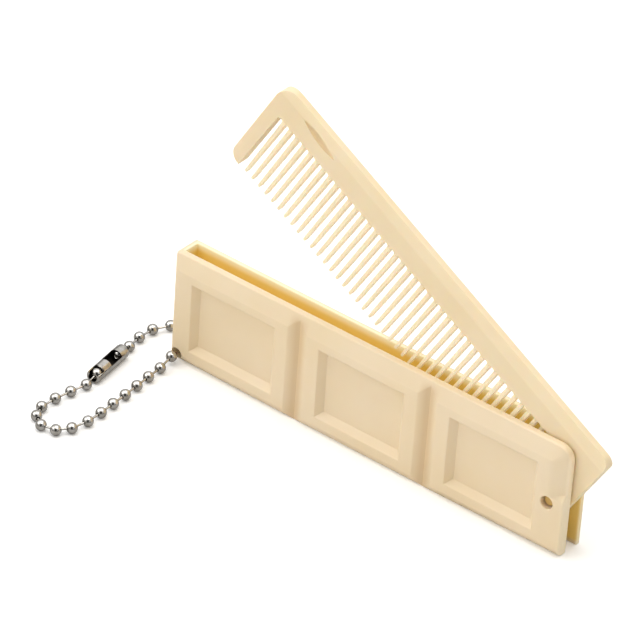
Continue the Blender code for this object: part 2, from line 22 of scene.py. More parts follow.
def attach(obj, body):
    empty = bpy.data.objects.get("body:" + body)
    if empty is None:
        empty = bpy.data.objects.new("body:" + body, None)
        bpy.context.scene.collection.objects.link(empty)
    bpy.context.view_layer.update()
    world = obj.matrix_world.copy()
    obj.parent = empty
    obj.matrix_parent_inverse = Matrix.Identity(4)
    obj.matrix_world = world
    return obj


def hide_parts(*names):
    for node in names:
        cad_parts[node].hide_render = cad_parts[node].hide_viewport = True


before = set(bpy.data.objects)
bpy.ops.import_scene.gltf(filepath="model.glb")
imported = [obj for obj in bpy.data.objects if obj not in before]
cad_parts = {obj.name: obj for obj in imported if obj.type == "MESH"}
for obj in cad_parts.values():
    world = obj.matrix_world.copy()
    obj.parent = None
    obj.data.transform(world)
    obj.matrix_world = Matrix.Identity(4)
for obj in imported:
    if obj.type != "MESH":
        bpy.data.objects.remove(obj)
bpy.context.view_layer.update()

MM = 0.001
GRIP = 1e-6  # how near counts as on a plane
CREASE_DEG = 18.0  # outer edges that turn more than this are rounded
BORE_FACES = 32
X, Y, Z = (1, 0, 0), (0, 1, 0), (0, 0, 1)
LOG = logging.getLogger("folding_comb")
Colour = tuple[float, float, float]
Ramp = tuple[float, float]
Inputs = dict[str | int, object]
Test = Callable[[Vector], bool]
WHITE: Colour = (1.0, 1.0, 1.0)
DARK: Colour = (0.0, 0.0, 0.0)


class Slot(Enum):
    """The record's material slots."""

    CASE = "case_plastic"
    COMB = "comb_plastic"
    CHAIN = "chain_metal"


class Body(Enum):
    """The moving bodies that pieces ride on."""

    CASE = "case"
    COMB = "comb"
    CHAIN = "chain"
    CONNECTOR = "connector"


# Nodes


def fill(tree: NodeTree, node: Node, inputs: Inputs) -> None:
    """Links or sets inputs of a node.

    Args:
        tree: The node's tree.
        node: The node.
        inputs: Its inputs' names or places, each with a socket to link from or a constant.
    """
    for name, value in inputs.items():
        socket = node.inputs[name]
        if isinstance(value, NodeSocket):
            tree.links.new(value, socket)
        else:
            socket.default_value = (*value, 1) if socket.type == "RGBA" else value


def add_node(tree: NodeTree, kind: str, inputs: Inputs | None = None, **settings: object) -> Node:
    """Adds a shader node.

    Args:
        tree: The tree that it goes into.
        kind: Its type, without the leading ShaderNode.
        inputs: What its inputs are linked or set to.
        **settings: Its other properties.

    Returns:
        The node.
    """
    node = tree.nodes.new(f"ShaderNode{kind}")
    for name, value in settings.items():
        setattr(node, name, value)
    fill(tree, node, inputs or {})
    return node


def calculated(tree: NodeTree, operation: str, *values: NodeSocket | float) -> NodeSocket:
    """Works out a value with a Math node.

    Args:
        tree: The tree that the node goes into.
        operation: The node's operation.
        *values: What it works with.

    Returns:
        The result.
    """
    return add_node(tree, "Math", dict(enumerate(values)), operation=operation).outputs["Value"]


def projected(tree: NodeTree, place: NodeSocket, way: Sequence[float]) -> NodeSocket:
    """Returns how far a place lies along a direction."""
    return add_node(tree, "VectorMath", {0: place, 1: way}, operation="DOT_PRODUCT").outputs["Value"]


def ramped(
    tree: NodeTree, source: NodeSocket, ramp: Ramp, result: Ramp = (0.0, 1.0), kind: str = "SMOOTHSTEP"
) -> NodeSocket:
    """Turns a measure into a mask that goes from one value to another.

    Args:
        tree: The tree that the node goes into.
        source: The measure.
        ramp: Where the mask starts to change and where it ends.
        result: Its values there.
        kind: The node's interpolation.

    Returns:
        The mask.
    """
    limits = {"Value": source, "From Min": ramp[0], "From Max": ramp[1], "To Min": result[0], "To Max": result[1]}
    return add_node(tree, "MapRange", limits, interpolation_type=kind).outputs["Result"]


def mixed(
    tree: NodeTree, share: NodeSocket, first: NodeSocket | Colour, second: NodeSocket | Colour, kind: str = "MIX"
) -> NodeSocket:
    """Mixes two colours.

    Args:
        tree: The tree that the node goes into.
        share: How much of the second colour shows.
        first: The first colour.
        second: The second colour.
        kind: The node's way of mixing.

    Returns:
        The mixed colour.
    """
    mix = add_node(tree, "Mix", {"Factor": share, "A": first, "B": second}, data_type="RGBA", blend_type=kind)
    return next(socket for socket in mix.outputs if socket.type == "RGBA")


def noise(tree: NodeTree, per_metre: NodeSocket, detail: float) -> NodeSocket:
    """Returns noise over the object, with so many cells per metre."""
    place = add_node(tree, "TexCoord").outputs["Object"]
    return add_node(tree, "TexNoise", {"Vector": place, "Scale": per_metre, "Detail": detail}).outputs["Fac"]


def new_group(name: str, inputs: dict[str, float | Colour], outputs: Iterable[str]) -> NodeTree:
    """Starts a shader node group with named sockets.

    Args:
        name: The group's name.
        inputs: Its inputs with their default values, each a colour or a number.
        outputs: Its outputs: the one named Colour is a colour, the others are numbers.

    Returns:
        The group's tree, holding its input and output nodes.
    """
    group = bpy.data.node_groups.new(name, "ShaderNodeTree")
    for label, value in inputs.items():
        coloured = isinstance(value, tuple)
        kind = "NodeSocketColor" if coloured else "NodeSocketFloat"
        socket = group.interface.new_socket(label, in_out="INPUT", socket_type=kind)
        socket.default_value = (*value, 1) if coloured else value
    for label in outputs:
        kind = "NodeSocketColor" if label == "Colour" else "NodeSocketFloat"
        group.interface.new_socket(label, in_out="OUTPUT", socket_type=kind)
    group.nodes.new("NodeGroupInput")
    group.nodes.new("NodeGroupOutput")
    return group


# Materials


def moulded_skin_group() -> NodeTree:
    """Builds the effect of moulded plastic: faint clouds in its colour and a fine uneven skin.

    Returns:
        A group that puts out a colour, a roughness and a height for a Bump node.
    """
    inputs = {
        "Colour": (0.8, 0.7, 0.5),
        "Cloud Colour": (0.8, 0.7, 0.5),
        "Clouds Per Metre": 60.0,
        "Grains Per Metre": 2500.0,
        "Roughness": 0.4,
        "Roughness Spread": 0.08,
    }
    group = new_group("moulded_skin", inputs, ("Colour", "Roughness", "Height"))
    given = group.nodes["Group Input"].outputs
    clouds = noise(group, given["Clouds Per Metre"], detail=3.0)
    share = ramped(group, clouds, (0.35, 0.65), kind="LINEAR")
    off_mean = calculated(group, "SUBTRACT", clouds, 0.5)
    fill(group, group.nodes["Group Output"], {
        "Colour": mixed(group, share, given["Colour"], given["Cloud Colour"]),
        "Roughness": calculated(group, "MULTIPLY_ADD", off_mean, given["Roughness Spread"], given["Roughness"]),
        "Height": noise(group, given["Grains Per Metre"], detail=2.0),
    })
    return group


def handled_plating_group() -> NodeTree:
    """Builds the effect of plated steel that has been handled: cloudy gloss and shallow dents.

    Returns:
        A group that puts out a colour, a roughness and a height for a Bump node.
    """
    inputs = {
        "Colour": (0.6, 0.6, 0.6),
        "Dull Colour": (0.5, 0.5, 0.5),
        "Patches Per Metre": 900.0,
        "Roughness": 0.15,
        "Dull Roughness": 0.3,
    }
    group = new_group("handled_plating", inputs, ("Colour", "Roughness", "Height"))
    given = group.nodes["Group Input"].outputs
    patches = noise(group, given["Patches Per Metre"], detail=4.0)
    share = ramped(group, patches, (0.4, 0.7), kind="LINEAR")
    gloss = add_node(group, "Mix", {"Factor": share, "A": given["Roughness"], "B": given["Dull Roughness"]})
    fill(group, group.nodes["Group Output"], {
        "Colour": mixed(group, share, given["Colour"], given["Dull Colour"]),
        "Roughness": gloss.outputs["Result"],
        "Height": patches,
    })
    return group


@dataclass(frozen=True)
class CaseMasks:
    """The masks of the case's painted glow and painted groove shade, each ramp from where its mask is 0 to where it
    is 1.
    """

    beside_slot: Ramp = (2.2 * MM, 1.82 * MM)
    back_shift: float = 0.5 * MM
    before_open_end: Ramp = (50.6 * MM, 50.2 * MM)
    past_closed_end: Ramp = (-49.6 * MM, -49.0 * MM)
    above_base: Ramp = (0.4 * MM, 1.4 * MM)
    below_rim: Ramp = (25.5 * MM, 23.4 * MM)
    away_from_pivot: Ramp = (44.0 * MM, 34.0 * MM)
    light_at_pivot: float = 0.35
    # Painted glow at the open end: emission lights its end face.
    at_open_end: Ramp = (49.7 * MM, 50.3 * MM)
    shade_beside_valley: Ramp = (2.5 * MM, 0.7 * MM)
    on_front: Ramp = (-3.0 * MM, -3.3 * MM)
    below_top_edge: Ramp = (25.4 * MM, 23.2 * MM)

    def build(self) -> NodeTree:
        """Builds the masks of the case's painted light: a painted glow where light would come through the thin walls,
        and painted shade in its two grooves.

        Returns:
            A group that puts out masks of the slot's hollow, its painted glow, its depth, the open end's painted glow
            and the grooves' painted shade.
        """
        group = new_group("case_masks", {}, ("Hollow", "Glow", "Depth", "End", "Groove Shade"))
        place = add_node(group, "TexCoord").outputs["Object"]
        x, y, z = add_node(group, "SeparateXYZ", {"Vector": place}).outputs
        front = calculated(group, "MULTIPLY", y, -1.0)
        aside = calculated(group, "MAXIMUM", front, calculated(group, "SUBTRACT", y, self.back_shift))
        glow = ramped(group, aside, self.beside_slot)
        for source, ramp in ((x, self.before_open_end), (x, self.past_closed_end), (z, self.above_base)):
            glow = calculated(group, "MULTIPLY", glow, ramped(group, source, ramp))
        depth = ramped(group, z, self.below_rim)
        dimming = ramped(group, x, self.away_from_pivot, (self.light_at_pivot, 1.0), "LINEAR")
        # Painted shade: the front gets darker towards each groove's valley, on the front and below the top edge.
        valley_shades = []
        for centre in CaseShell.groove_centres:
            distance = calculated(group, "ABSOLUTE", calculated(group, "SUBTRACT", x, centre))
            valley_shades.append(ramped(group, distance, self.shade_beside_valley, kind="LINEAR"))
        groove = calculated(group, "MAXIMUM", *valley_shades)
        for source, ramp in ((y, self.on_front), (z, self.below_top_edge)):
            groove = calculated(group, "MULTIPLY", groove, ramped(group, source, ramp))
        fill(group, group.nodes["Group Output"], {
            "Hollow": calculated(group, "MULTIPLY", glow, depth),
            "Glow": calculated(group, "MULTIPLY", glow, dimming),
            "Depth": depth,
            "End": ramped(group, x, self.at_open_end),
            "Groove Shade": groove,
        })
        return group


@dataclass(frozen=True)
class CombMask:
    """The mask of the comb's painted glow on its thin back and teeth, in places along the comb from its pivot and
    across it.
    """

    open_deg: float = 30.7
    back: Ramp = (14.0 * MM, 14.6 * MM)
    back_share: float = 0.5
    teeth: Ramp = (9.6 * MM, 8.4 * MM)
    past_guard: Ramp = (-91.9 * MM, -91.2 * MM)
    before_butt: Ramp = (-7.6 * MM, -8.2 * MM)

    def build(self) -> NodeTree:
        """Builds the mask of the comb's back and teeth, where a painted glow stands in for light shining through.

        Returns:
            A group that puts out the mask.
        """
        group = new_group("comb_mask", {}, ("Thin",))
        place = add_node(group, "TexCoord").outputs["Object"]
        moved = {"Vector": place, "Location": [-part for part in CombBlade.pivot]}
        from_pivot = add_node(group, "Mapping", moved).outputs["Vector"]
        sine, cosine = math.sin(math.radians(self.open_deg)), math.cos(math.radians(self.open_deg))
        across = projected(group, from_pivot, (sine, 0, cosine))
        along = projected(group, from_pivot, (cosine, 0, -sine))
        teeth = ramped(group, across, self.teeth)
        for ramp in (self.past_guard, self.before_butt):
            teeth = calculated(group, "MULTIPLY", teeth, ramped(group, along, ramp, kind="LINEAR"))
        back = ramped(group, across, self.back, (0.0, self.back_share))
        fill(group, group.nodes["Group Output"], {"Thin": calculated(group, "MAXIMUM", back, teeth)})
        return group


def principled(name: str) -> tuple[Material, Node]:
    """Starts a material.

    Args:
        name: The material's name.

    Returns:
        The material and its Principled BSDF node.
    """
    made = bpy.data.materials.new(name)
    made.use_nodes = True
    return made, made.node_tree.nodes["Principled BSDF"]


def cover(tree: NodeTree, shader: Node, effect: Node, strength: float, depth: float) -> None:
    """Gives a shader an effect's colour, roughness and height.

    Args:
        tree: The material's tree.
        shader: Its Principled BSDF node.
        effect: The effect's group node.
        strength: How strongly the height shows.
        depth: How deep the height goes.
    """
    bump = add_node(tree, "Bump", {"Height": effect.outputs["Height"], "Strength": strength, "Distance": depth})
    fill(tree, shader, {
        "Base Color": effect.outputs["Colour"],
        "Roughness": effect.outputs["Roughness"],
        "Normal": bump.outputs["Normal"],
    })


@dataclass(frozen=True)
class MouldedPlastic:
    """A satin moulded plastic, a little cloudy and a little see-through at thin edges, with painted glow and painted
    shade where masks are given.
    """

    name: str
    colour: Colour
    cloud_colour: Colour
    roughness: float = 0.42
    ior: float = 1.5
    glow_depth: float = 0.6 * MM
    glow_weight: float = 0.12
    glow_spread: Colour = (1.0, 0.6, 0.25)
    skin_depth: float = 0.01 * MM
    skin_strength: float = 0.25
    # Painted light and shade. The hollow's warm colour and the emission colours below stand in for light through the
    # thin plastic, and the groove colour is painted shade.
    hollow_painted_light: Colour = (0.82, 0.6, 0.2)
    groove_painted_shade: Colour = (0.86, 0.79, 0.7)
    shine_through: Colour = (0.11, 0.08, 0.01)
    thin_light: Colour = (0.09, 0.1, 0.09)
    rim_light: Colour = (0.22, 0.24, 0.15)
    end_light: Colour = (0.1, 0.1, 0.08)

    def make(self, skin: NodeTree, case_masks: NodeTree | None = None, comb_mask: NodeTree | None = None) -> Material:
        """Builds the material.

        Args:
            skin: The moulded_skin group.
            case_masks: The case_masks group, for the case's painted glow and painted groove shade.
            comb_mask: The comb_mask group, for the comb's painted glow.

        Returns:
            The finished material.
        """
        made, shader = principled(self.name)
        tree = made.node_tree
        given = {"Colour": self.colour, "Cloud Colour": self.cloud_colour, "Roughness": self.roughness}
        effect = add_node(tree, "Group", given, node_tree=skin)
        cover(tree, shader, effect, self.skin_strength, self.skin_depth)
        fill(tree, shader, {
            "IOR": self.ior,
            "Subsurface Weight": self.glow_weight,
            "Subsurface Radius": self.glow_spread,
            "Subsurface Scale": self.glow_depth,
        })
        if case_masks is not None:
            self.light_case(tree, shader, effect.outputs["Colour"], case_masks)
        if comb_mask is not None:
            # Painted glow: emission on the comb's thin back and teeth.
            thin = add_node(tree, "Group", node_tree=comb_mask).outputs["Thin"]
            glow = mixed(tree, thin, DARK, self.thin_light)
            fill(tree, shader, {"Emission Color": glow, "Emission Strength": 1.0})
        return made

    def light_case(self, tree: NodeTree, shader: Node, colour: NodeSocket, case_masks: NodeTree) -> None:
        """Paints light and shade on the case: a warm painted glow inside the slot and at the open end, standing in
        for light through the thin walls, and painted shade in the grooves.

        Args:
            tree: The material's tree.
            shader: Its Principled BSDF node.
            colour: The plastic's own colour.
            case_masks: The case_masks group.
        """
        masks = add_node(tree, "Group", node_tree=case_masks).outputs
        groove_shaded = mixed(tree, masks["Groove Shade"], colour, self.groove_painted_shade, "MULTIPLY")
        # Painted glow: emission inside the slot, lighter near the rim, dimmed towards the pivot, and at the open end.
        light = mixed(tree, masks["Depth"], self.rim_light, self.shine_through)
        light = mixed(tree, masks["Glow"], DARK, light)
        fill(tree, shader, {
            "Base Color": mixed(tree, masks["Hollow"], groove_shaded, self.hollow_painted_light),
            "Emission Color": mixed(tree, masks["End"], light, self.end_light),
            "Emission Strength": 1.0,
        })


@dataclass(frozen=True)
class PlatedSteel:
    """A bright nickel plating on steel."""

    name: str
    colour: Colour = (0.64, 0.62, 0.59)
    dull_colour: Colour = (0.46, 0.43, 0.38)
    roughness: float = 0.08
    dull_roughness: float = 0.16
    dent_depth: float = 0.02 * MM
    dent_strength: float = 0.3

    def make(self, plating: NodeTree) -> Material:
        """Builds the material.

        Args:
            plating: The handled_plating group.

        Returns:
            The finished material.
        """
        made, shader = principled(self.name)
        tree = made.node_tree
        given = {
            "Colour": self.colour,
            "Dull Colour": self.dull_colour,
            "Roughness": self.roughness,
            "Dull Roughness": self.dull_roughness,
        }
        effect = add_node(tree, "Group", given, node_tree=plating)
        cover(tree, shader, effect, self.dent_strength, self.dent_depth)
        fill(tree, shader, {"Metallic": 1.0})
        return made


# Mesh helpers


def near(first: float, second: float) -> bool:
    """Returns whether two places along an axis are the same."""
    return abs(first - second) < GRIP


def faces_at(faces: Iterable[BMFace], test: Test) -> list[BMFace]:
    """Returns the faces whose middles pass a test."""
    return [face for face in faces if test(face.calc_center_bounds())]


def verts_at(bm: BMesh, test: Test) -> list[BMVert]:
    """Returns the vertices whose places pass a test."""
    return [vertex for vertex in bm.verts if test(vertex.co)]


def wholly(parts: Iterable[BMFace | BMEdge], test: Test) -> list[BMFace | BMEdge]:
    """Returns the faces or edges whose vertices all pass a test."""
    return [part for part in parts if all(test(vertex.co) for vertex in part.verts)]


def link_shape(name: str, bm: BMesh) -> Object:
    """Turns a finished bmesh, which is freed, into an object at the origin."""
    mesh = bpy.data.meshes.new(name)
    bm.to_mesh(mesh)
    bm.free()
    piece = bpy.data.objects.new(name, mesh)
    bpy.context.collection.objects.link(piece)
    return piece


def shade(piece: Object, sharp_deg: float) -> None:
    """Shades a piece smooth, but for the edges that turn more than an angle."""
    piece.data.shade_smooth()
    piece.data.set_sharp_from_angle(angle=math.radians(sharp_deg))


def add_piece(name: str, bm: BMesh, look: Material, sharp_deg: float = 40.0) -> Object:
    """Turns a finished bmesh into a smooth-shaded object with a material.

    Args:
        name: The piece's name.
        bm: The shape, which is freed.
        look: Its material.
        sharp_deg: Edges that turn more than this stay sharp.

    Returns:
        The new object.
    """
    piece = link_shape(name, bm)
    piece.data.materials.append(look)
    shade(piece, sharp_deg)
    LOG.info("%s: %d faces", name, len(piece.data.polygons))
    return piece


def seat(piece: Object, body: Body, slot: Slot, *nodes: str) -> None:
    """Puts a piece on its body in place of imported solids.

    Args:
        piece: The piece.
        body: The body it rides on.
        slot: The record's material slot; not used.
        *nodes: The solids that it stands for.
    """
    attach(piece, body.value)
    if nodes:
        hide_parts(*nodes)


def with_edges(faces: Iterable[BMFace]) -> list[BMFace | BMEdge | BMVert]:
    """Returns faces together with their edges and vertices."""
    return list({item for face in faces for item in (face, *face.edges, *face.verts)})


def slice_faces(bm: BMesh, faces: Iterable[BMFace], place: Sequence[float], way: Sequence[float]) -> None:
    """Cuts lines into some faces where a plane meets them.

    Args:
        bm: The shape.
        faces: The faces to cut.
        place: A point of the plane.
        way: The plane's normal.
    """
    bmesh.ops.bisect_plane(bm, geom=with_edges(faces), dist=GRIP, plane_co=place, plane_no=way)


def slice_at(bm: BMesh, faces: Iterable[BMFace], axis: Sequence[float], place: float) -> None:
    """Cuts lines into some faces at a place along an axis."""
    slice_faces(bm, faces, Vector(axis) * place, axis)


def cut_off(bm: BMesh, place: Sequence[float], way: Sequence[float], grip: float = GRIP) -> list[BMFace]:
    """Cuts away what lies beyond a plane and closes the cut.

    Args:
        bm: The shape.
        place: A point of the plane.
        way: The plane's normal, towards what goes.
        grip: How near counts as on the plane.

    Returns:
        The faces that close the cut.
    """
    everything = [*bm.verts, *bm.edges, *bm.faces]
    bmesh.ops.bisect_plane(bm, geom=everything, dist=grip, plane_co=place, plane_no=way, clear_outer=True)
    return bmesh.ops.holes_fill(bm, edges=[edge for edge in bm.edges if edge.is_boundary], sides=0)["faces"]


def grow(bm: BMesh, faces: Iterable[BMFace], shift: Sequence[float]) -> list[BMFace]:
    """Extrudes faces along a shift.

    Args:
        bm: The shape.
        faces: The faces to extrude.
        shift: How far and which way they go.

    Returns:
        The faces at the far end.
    """
    made = bmesh.ops.extrude_face_region(bm, geom=with_edges(faces))["geom"]
    bmesh.ops.translate(bm, vec=shift, verts=[item for item in made if isinstance(item, BMVert)])
    return [item for item in made if isinstance(item, BMFace)]


def turn(bm: BMesh, angle_deg: float, axis: str) -> None:
    """Turns a whole shape about an axis through the origin."""
    bmesh.ops.rotate(bm, verts=bm.verts, cent=(0, 0, 0), matrix=Matrix.Rotation(math.radians(angle_deg), 3, axis))


def soften(
    bm: BMesh, parts: Iterable[BMEdge | BMVert], width: float, segments: int, affect: str = "EDGES"
) -> None:
    """Rounds edges, or a flat face's corners.

    Args:
        bm: The shape.
        parts: The edges or the corners to round.
        width: How far the rounding reaches from each.
        segments: Faces across the rounding.
        affect: EDGES or VERTICES.
    """
    bmesh.ops.bevel(
        bm, geom=list(parts), offset=width, offset_type="OFFSET", segments=segments, profile=0.5,
        affect=affect, clamp_overlap=False, material=-1, loop_slide=True,
    )


def creases(bm: BMesh) -> list[BMEdge]:
    """Returns the outer edges that turn enough to be rounded."""
    least = math.radians(CREASE_DEG)
    return [edge for edge in bm.edges if edge.is_manifold and edge.calc_face_angle_signed(0) > least]


def rounding_layer(bm: BMesh) -> BMLayerItem:
    """Returns the layer for the edges' share of the full rounding, made before any edge is kept."""
    return bm.edges.layers.float.get("bevel_weight_edge") or bm.edges.layers.float.new("bevel_weight_edge")


def finish_modifiers(piece: Object) -> None:
    """Turns a piece's modifiers into its mesh."""
    bpy.context.view_layer.update()
    solid = piece.evaluated_get(bpy.context.evaluated_depsgraph_get())
    made = bpy.data.meshes.new_from_object(solid)
    piece.modifiers.clear()
    old = piece.data
    piece.data = made
    bpy.data.meshes.remove(old)
    made.name = piece.name


def round_marked(piece: Object, width: float, segments: int) -> None:
    """Rounds a piece's marked edges.

    Args:
        piece: The piece, whose mesh is replaced.
        width: The full width of the rounding.
        segments: Faces across the rounding.
    """
    rounding = piece.modifiers.new("rounding", "BEVEL")
    rounding.limit_method = "WEIGHT"
    rounding.width = width
    rounding.segments = segments
    rounding.use_clamp_overlap = False
    finish_modifiers(piece)


def drill(piece: Object, cutters: Iterable[BMesh], sharp_deg: float) -> None:
    """Takes closed shapes out of a piece, and keeps its broad faces flat-looking beside rounded edges.

    Args:
        piece: The piece, whose mesh is replaced.
        cutters: The shapes to take out, which are freed.
        sharp_deg: Edges that turn more than this stay sharp.
    """
    for bm in cutters:
        bmesh.ops.recalc_face_normals(bm, faces=bm.faces)
        cutter = link_shape("cutter", bm)
        hole = piece.modifiers.new("hole", "BOOLEAN")
        hole.operation = "DIFFERENCE"
        hole.solver = "EXACT"
        hole.object = cutter
        finish_modifiers(piece)
        mesh = cutter.data
        bpy.data.objects.remove(cutter)
        bpy.data.meshes.remove(mesh)
    shade(piece, sharp_deg)
    piece.modifiers.new("flat_faces", "WEIGHTED_NORMAL").keep_sharp = True


def bore_cutter(x: float, z: float, radius: float, front: float, back: float, flare: float) -> BMesh:
    """Makes the cutter of a bore along y that opens out a little at both ends.

    Args:
        x: The bore's place along the case.
        z: Its height.
        radius: Its radius.
        front: Where it starts along y.
        back: Where it ends along y.
        flare: How much wider its mouths are.

    Returns:
        The cutter, a little longer than the bore.
    """
    bm = bmesh.new()
    bmesh.ops.create_circle(bm, cap_ends=True, segments=BORE_FACES, radius=radius + 2 * flare)
    turn(bm, 90, "X")
    bmesh.ops.translate(bm, verts=bm.verts, vec=(x, front - flare, z))
    cap = list(bm.faces)
    for step, width in ((2 * flare, radius), (back - front - 2 * flare, radius), (2 * flare, radius + 2 * flare)):
        cap = grow(bm, cap, (0, step, 0))
        rim = cap[0].verts
        share = width / math.hypot(rim[0].co.x - x, rim[0].co.z - z)
        bmesh.ops.scale(bm, vec=(share, 1, share), space=Matrix.Translation((-x, 0, -z)), verts=rim)
    return bm


@dataclass
class CaseShell:
    """The case: two walls on a floor and a closed end, with three sunk blocks on its front."""

    look: Material
    left: float = -50.0 * MM
    right: float = 50.4 * MM
    top: float = 25.5 * MM
    front: float = -4.6 * MM
    back: float = 2.9 * MM
    slot_half: float = 1.8 * MM
    end_inner: float = -48.8 * MM
    floor_top: float = 1.8 * MM
    floor_end: float = 42.8 * MM
    edge: float = -3.3 * MM
    top_slope_foot: float = 22.0 * MM
    base_slope_head: float = 1.6 * MM
    end_slope_start: float = -48.9 * MM
    slope_share: float = 0.2
    corner_radius: float = 3.0 * MM
    corner_steps: int = 6
    groove_centres: tuple[float, ...] = (-17.133 * MM, 16.033 * MM)
    groove_half: float = 2.4 * MM
    groove_depth: float = 0.95 * MM
    panel_starts: tuple[float, ...] = (-44.7 * MM, -11.533 * MM, 21.633 * MM)
    panel_width: float = 21.967 * MM
    panel_low: float = 3.7 * MM
    panel_high: float = 20.2 * MM
    panel_inset: float = 1.35 * MM
    panel_depth: float = 1.5 * MM
    wedge_start: float = 46.8 * MM
    wedge_foot: float = 13.5 * MM
    wedge_rise: float = 1.5 * MM
    pin_bore: tuple[float, float, float] = (46.5 * MM, 11.85 * MM, 1.45 * MM)
    chain_bore: tuple[float, float, float] = (-47.8 * MM, 1.75 * MM, 1.35 * MM)
    bore_flare: float = 0.15 * MM
    edge_radius: float = 0.5 * MM
    edge_steps: int = 3
    edge_share: float = 0.5
    panel_share: float = 0.36
    flat_deg: float = 1.0
    sharp_deg: float = 35.0

    def build(self) -> None:
        """Builds the case and seats it in place of its solid."""
        bm = bmesh.new()
        self.raise_walls(bm)
        self.cut_grooves(bm)
        self.sink_panels(bm)
        self.lean_open_end(bm)
        self.slope_edges(bm)
        self.mark_edges(bm)
        piece = add_piece("case_moulding", bm, self.look)
        round_marked(piece, self.edge_radius, self.edge_steps)
        reach = (self.front, self.back, self.bore_flare)
        drill(piece, [bore_cutter(*bore, *reach) for bore in (self.pin_bore, self.chain_bore)], self.sharp_deg)
        seat(piece, Body.CASE, Slot.CASE, "case")

    def front_faces(self, bm: BMesh, start: float, end: float) -> list[BMFace]:
        """Returns the faces of the front plane whose middles lie between two places along the case."""
        return faces_at(wholly(bm.faces, lambda at: near(at.y, self.front)), lambda at: start < at.x < end)

    def raise_walls(self, bm: BMesh) -> None:
        """Raises the floor, and the walls and the closed end round it."""
        bmesh.ops.create_grid(bm, x_segments=1, y_segments=1, size=0.5)
        bmesh.ops.scale(bm, verts=bm.verts, vec=(self.right - self.left, self.back - self.front, 1))
        bmesh.ops.translate(bm, verts=bm.verts, vec=((self.left + self.right) / 2, (self.front + self.back) / 2, 0))
        for place in (self.end_inner, self.floor_end):
            slice_at(bm, bm.faces, X, place)
        for place in (-self.slot_half, self.slot_half):
            slice_at(bm, bm.faces, Y, place)
        bay = faces_at(bm.faces, lambda at: at.x > self.floor_end and abs(at.y) < self.slot_half)
        bmesh.ops.delete(bm, geom=bay, context="FACES")
        lower = grow(bm, bm.faces, (0, 0, self.floor_top))
        floor = faces_at(lower, lambda at: self.end_inner < at.x < self.floor_end and abs(at.y) < self.slot_half)
        grow(bm, [face for face in lower if face not in floor], (0, 0, self.top - self.floor_top))
        bmesh.ops.recalc_face_normals(bm, faces=bm.faces)
        bmesh.ops.dissolve_limit(bm, angle_limit=math.radians(self.flat_deg), verts=bm.verts, edges=bm.edges)

    def cut_grooves(self, bm: BMesh) -> None:
        """Presses a V groove into the front between each two blocks."""
        for centre in self.groove_centres:
            for place in (centre - self.groove_half, centre, centre + self.groove_half):
                slice_at(bm, self.front_faces(bm, self.left, self.right), X, place)
            valley = verts_at(bm, lambda at: near(at.x, centre) and near(at.y, self.front))
            bmesh.ops.translate(bm, verts=valley, vec=(0, self.groove_depth, 0))

    def sink_panels(self, bm: BMesh) -> None:
        """Sinks each block's panel with sloping walls."""
        for start in self.panel_starts:
            end = start + self.panel_width
            for place in (start, end):
                slice_at(bm, self.front_faces(bm, start - self.panel_width, end + self.panel_width), X, place)
            for height in (self.panel_low, self.panel_high):
                slice_at(bm, self.front_faces(bm, start, end), Z, height)
            panel = faces_at(self.front_faces(bm, start, end), lambda at: self.panel_low < at.z < self.panel_high)
            bmesh.ops.inset_region(
                bm, faces=panel, thickness=self.panel_inset, depth=-self.panel_depth, use_even_offset=True
            )

    def lean_open_end(self, bm: BMesh) -> None:
        """Leans the front back beside the open end, above the flat round the pin."""
        strip_start = self.panel_starts[-1] + self.panel_width
        slice_at(bm, self.front_faces(bm, strip_start, self.right), X, self.wedge_start)
        slice_at(bm, self.front_faces(bm, self.wedge_start, self.right), Z, self.wedge_foot)
        upper = faces_at(self.front_faces(bm, self.wedge_start, self.right), lambda at: at.z > self.wedge_foot)
        run = self.right - self.wedge_start
        slice_faces(bm, upper, (self.wedge_start, 0, self.wedge_foot), (-self.wedge_rise, 0, run))
        past_start, past_foot = self.wedge_start + GRIP, self.wedge_foot + GRIP
        leaning = verts_at(bm, lambda at: near(at.y, self.front) and at.x > past_start and at.z > past_foot)
        bmesh.ops.translate(bm, verts=leaning, vec=(0, self.edge - self.front, 0))

    def slope_edges(self, bm: BMesh) -> None:
        """Slopes the front's top, foot and closed end, and rounds the open end's top corner."""
        depth = self.edge - self.front
        cut_off(bm, (0, self.front, self.top_slope_foot), (0, self.top_slope_foot - self.top, depth))
        cut_off(bm, (0, self.front, self.base_slope_head), (0, -self.base_slope_head, -depth))
        cut_off(bm, (self.end_slope_start, self.front, 0), (-depth, self.left - self.end_slope_start, 0))
        lines = [centre + side * self.groove_half for centre in self.groove_centres for side in (-1, 0, 1)]
        for place in (*lines, self.wedge_start):
            bm.normal_update()
            facing = wholly(bm.faces, lambda at: at.y < self.edge + GRIP)
            sloped = faces_at(facing, lambda at: not self.panel_low < at.z < self.panel_high + GRIP)
            slice_at(bm, [face for face in sloped if abs(face.normal.z) > self.slope_share], X, place)
        leaning = wholly(bm.faces, lambda at: at.y < self.edge + GRIP and at.x > self.wedge_start - GRIP)
        slice_at(bm, leaning, Z, self.top_slope_foot)
        corner = wholly(bm.edges, lambda at: near(at.x, self.right) and near(at.z, self.top))
        soften(bm, corner, self.corner_radius, self.corner_steps)
        bent = []
        for face in faces_at(bm.faces, lambda at: at.x > self.floor_end):
            off_plane = max(abs((vertex.co - face.verts[0].co).dot(face.normal)) for vertex in face.verts)
            if len(face.verts) > 4 and off_plane > GRIP:
                bent.append(face)
        bmesh.ops.triangulate(bm, faces=bent)

